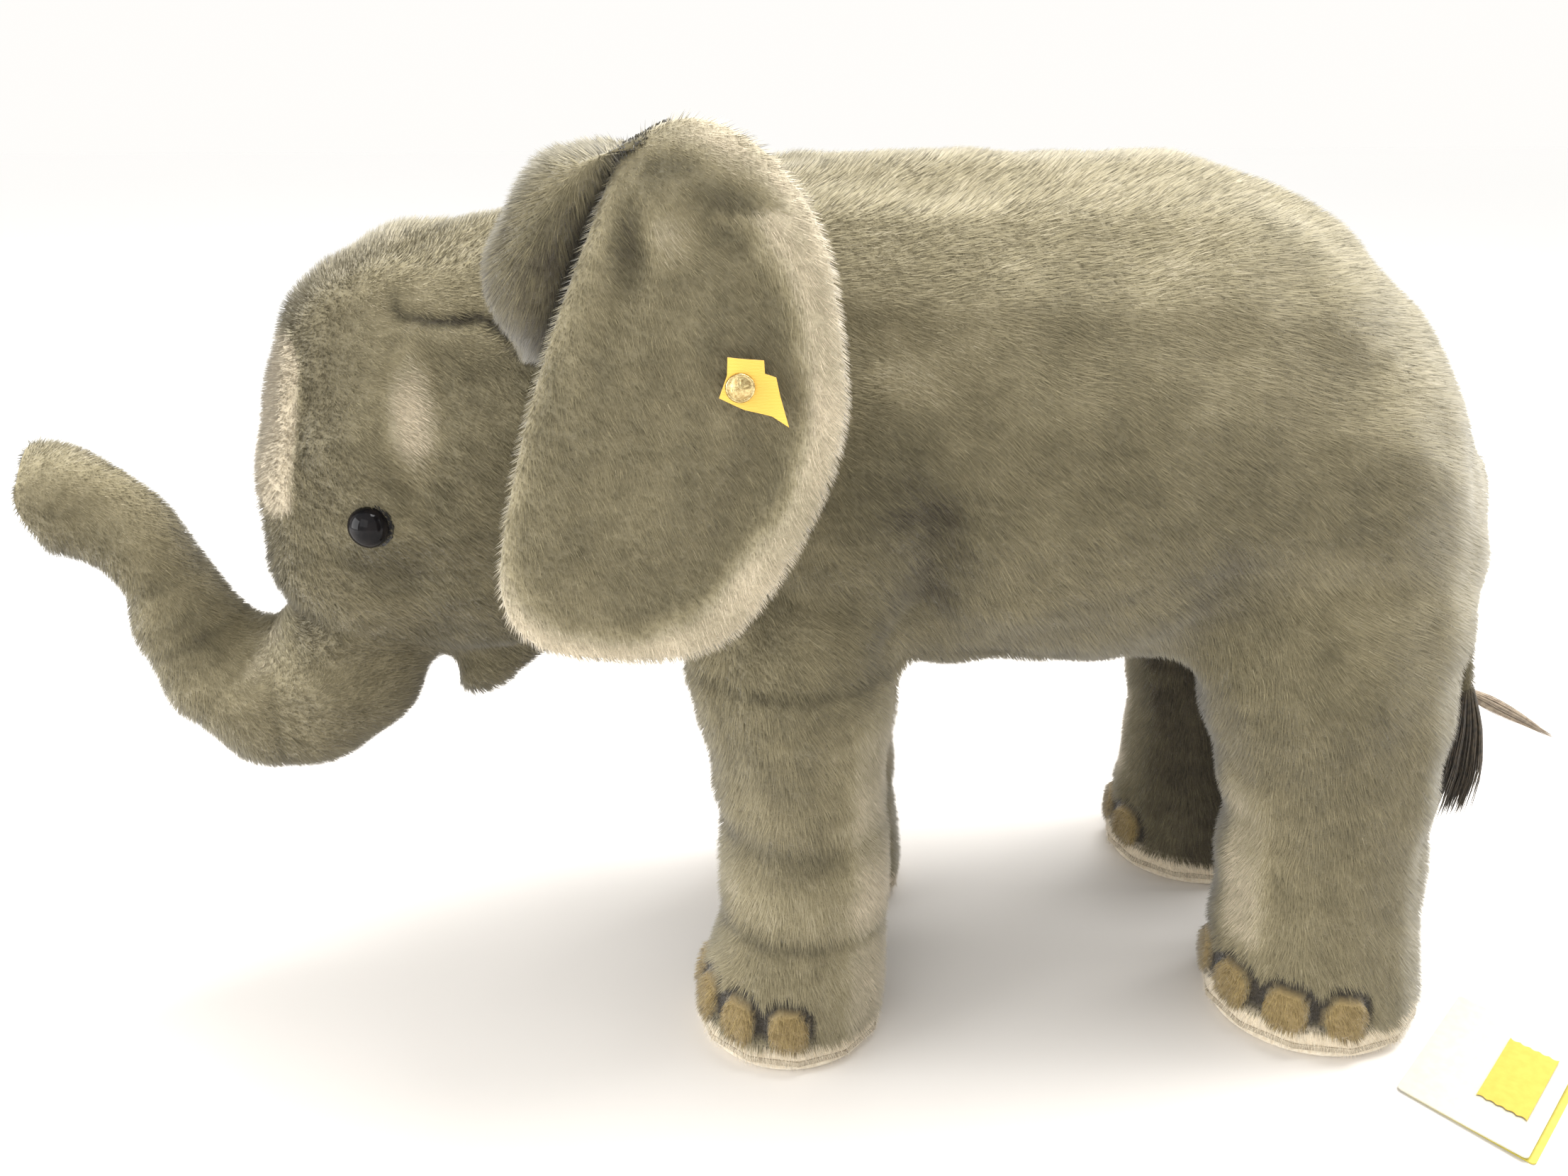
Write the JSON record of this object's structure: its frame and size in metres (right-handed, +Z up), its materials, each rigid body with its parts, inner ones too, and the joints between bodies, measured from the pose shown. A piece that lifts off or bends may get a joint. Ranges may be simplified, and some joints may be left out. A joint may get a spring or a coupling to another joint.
{
  "type": "stuffed elephant",
  "caption": "Standing plush elephant with raised trunk, hinged ears, sewn legs with painted toes, thin tufted tail, and a folded paper hang tag beside one foot.",
  "frame": {"origin": "on the ground plane, under the middle of the whole footprint with the hang tag; the toy's own middle plane is y = 0.014", "axes": "+Z up; the head points along -X and the tail along +X; the toy's left side faces -Y"},
  "size_m": [0.5579, 0.2439, 0.31],
  "materials": {
    "plush": "dense short pile, airbrushed shading",
    "stuffing": "loose fibre fill",
    "sole": "cream short plush",
    "board": "stiff grey board",
    "steel": "drawn wire",
    "eye": "polished black",
    "washer": "moulded",
    "label": "woven ribbon",
    "brass": "polished, embossed",
    "tuft": "long dark hair fibre",
    "lock": "long grey-brown fibre",
    "card": "coated card",
    "leaf": "coated card",
    "sticker": "matt sticker"
  },
  "bodies": {
    "body": {"body_skin_left": "plush", "body_skin_right": "plush", "body_stuffing": "stuffing", "head_skin_left": "plush", "head_skin_right": "plush", "head_stuffing": "stuffing", "leg_skin_front_left": "plush", "leg_skin_front_right": "plush", "leg_skin_hind_left": "plush", "leg_skin_hind_right": "plush", "leg_stuffing_front_left": "stuffing", "leg_stuffing_front_right": "stuffing", "leg_stuffing_hind_left": "stuffing", "leg_stuffing_hind_right": "stuffing", "foot_board_front_left": "board", "foot_board_front_right": "board", "foot_board_hind_left": "board", "foot_board_hind_right": "board", "foot_sole_front_left": "sole", "foot_sole_front_right": "sole", "foot_sole_hind_left": "sole", "foot_sole_hind_right": "sole", "spine_wire": "steel", "front_leg_wire": "steel", "hind_leg_wire": "steel", "trunk_base_skin": "plush", "trunk_base_stuffing": "stuffing", "lower_lip": "plush", "ear_root_left": "plush", "ear_root_right": "plush", "eye_left": "eye", "eye_right": "eye", "eye_washer_left": "washer", "eye_washer_right": "washer"},
    "ear_left": {"ear_left_outer": "plush", "ear_left_inner": "plush", "ear_label": "label", "ear_button": "brass", "ear_button_back": "brass"},
    "ear_right": {"ear_right_outer": "plush", "ear_right_inner": "plush"},
    "trunk_middle": {"trunk_middle_skin": "plush", "trunk_middle_stuffing": "stuffing", "trunk_middle_wire": "steel"},
    "trunk_tip": {"trunk_tip_skin": "plush", "trunk_tip_stuffing": "stuffing", "trunk_tip_wire": "steel"},
    "tail_upper": {"tail_upper": "plush"},
    "tail_lower": {"tail_lower": "plush", "tail_tuft": "tuft", "tail_stray_lock": "lock"},
    "hang_tag": {"hang_tag_leaf": "leaf", "hang_tag_card": "card", "price_sticker": "sticker"}
  },
  "joints": [
    {"name": "ear_left_fold", "type": "hinge", "parent": "body", "child": "ear_left", "pos_m": [-0.0935, -0.0845, 0.2755], "axis": [-0.41, 0, -0.9121], "range_deg": [0, 50], "stiffness_Nm_per_rad": 0.05},
    {"name": "ear_right_fold", "type": "hinge", "parent": "body", "child": "ear_right", "pos_m": [-0.0935, 0.1125, 0.2755], "axis": [0.41, 0, 0.9121], "range_deg": [0, 50], "stiffness_Nm_per_rad": 0.05},
    {"name": "trunk_bend", "type": "hinge", "parent": "body", "child": "trunk_middle", "pos_m": [-0.2245, 0.014, 0.125], "axis": [0, 1, 0], "range_deg": [-15, 10]},
    {"name": "trunk_tip_bend", "type": "hinge", "parent": "trunk_middle", "child": "trunk_tip", "pos_m": [-0.243, 0.014, 0.165], "axis": [0, 1, 0], "range_deg": [-15, 15]},
    {"name": "tail_lift", "type": "hinge", "parent": "body", "child": "tail_upper", "pos_m": [0.219, 0.014, 0.189], "axis": [0, -1, 0], "range_deg": [0, 70]},
    {"name": "tail_sway", "type": "hinge", "parent": "tail_upper", "child": "tail_lower", "pos_m": [0.2278, 0.014, 0.134], "axis": [1, 0, 0], "range_deg": [-35, 35]},
    {"name": "hang_tag_flip", "type": "hinge", "parent": "body", "child": "hang_tag", "pos_m": [0.1924, -0.0655, 0], "axis": [-0.7549, -0.6559, 0], "range_deg": [0, 60]}
  ]
}
